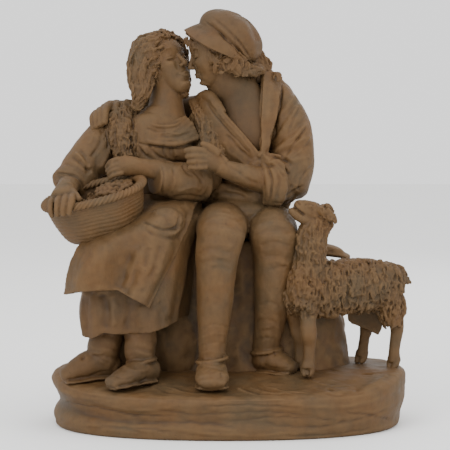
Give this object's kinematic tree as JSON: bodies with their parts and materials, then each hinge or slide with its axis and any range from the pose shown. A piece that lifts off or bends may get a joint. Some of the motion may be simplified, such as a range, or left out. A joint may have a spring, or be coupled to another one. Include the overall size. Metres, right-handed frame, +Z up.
{
  "type": "terracotta couple figure",
  "caption": "Studio terracotta of a seated couple about to kiss, a basket of fruit on the woman's lap and a lamb beside the man, on a rounded oblong base.",
  "frame": {"origin": "under the middle of the whole group, on the flat underside of the base", "axes": "+Z up, -Y towards the front, +X along the base from the woman to the lamb"},
  "size_m": [0.2822, 0.1752, 0.3194],
  "materials": {
    "terracotta": "matte, unglazed, with a greenish-grey bloom"
  },
  "bodies": {
    "root": {"terracotta_group": "terracotta"}
  },
  "joints": []
}
